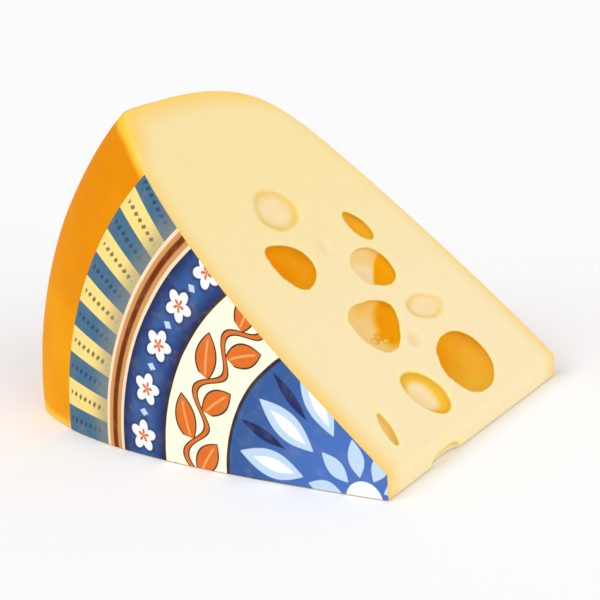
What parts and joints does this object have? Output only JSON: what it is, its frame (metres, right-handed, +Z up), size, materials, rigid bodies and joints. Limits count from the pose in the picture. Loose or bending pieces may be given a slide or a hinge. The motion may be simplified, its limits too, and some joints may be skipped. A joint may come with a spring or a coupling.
{
  "type": "cheese wedge",
  "caption": "Wedge of a domed cheese wheel with round eyes in its cut faces, a smooth coloured rind and a printed sheet on its flat side.",
  "frame": {"origin": "on the surface that the wedge lies on, under the middle of its bounding box", "axes": "+Z up; +X from the rind towards the blunt tip; the wheel's axis runs along Y and the printed face looks towards -Y"},
  "size_m": [0.1902, 0.1476, 0.1311],
  "materials": {
    "cheese": "moist cut cheese with a satin coated rind",
    "label": "printed, lightly waxed paper"
  },
  "bodies": {
    "root": {"cheese": "cheese", "label": "label"}
  },
  "joints": []
}
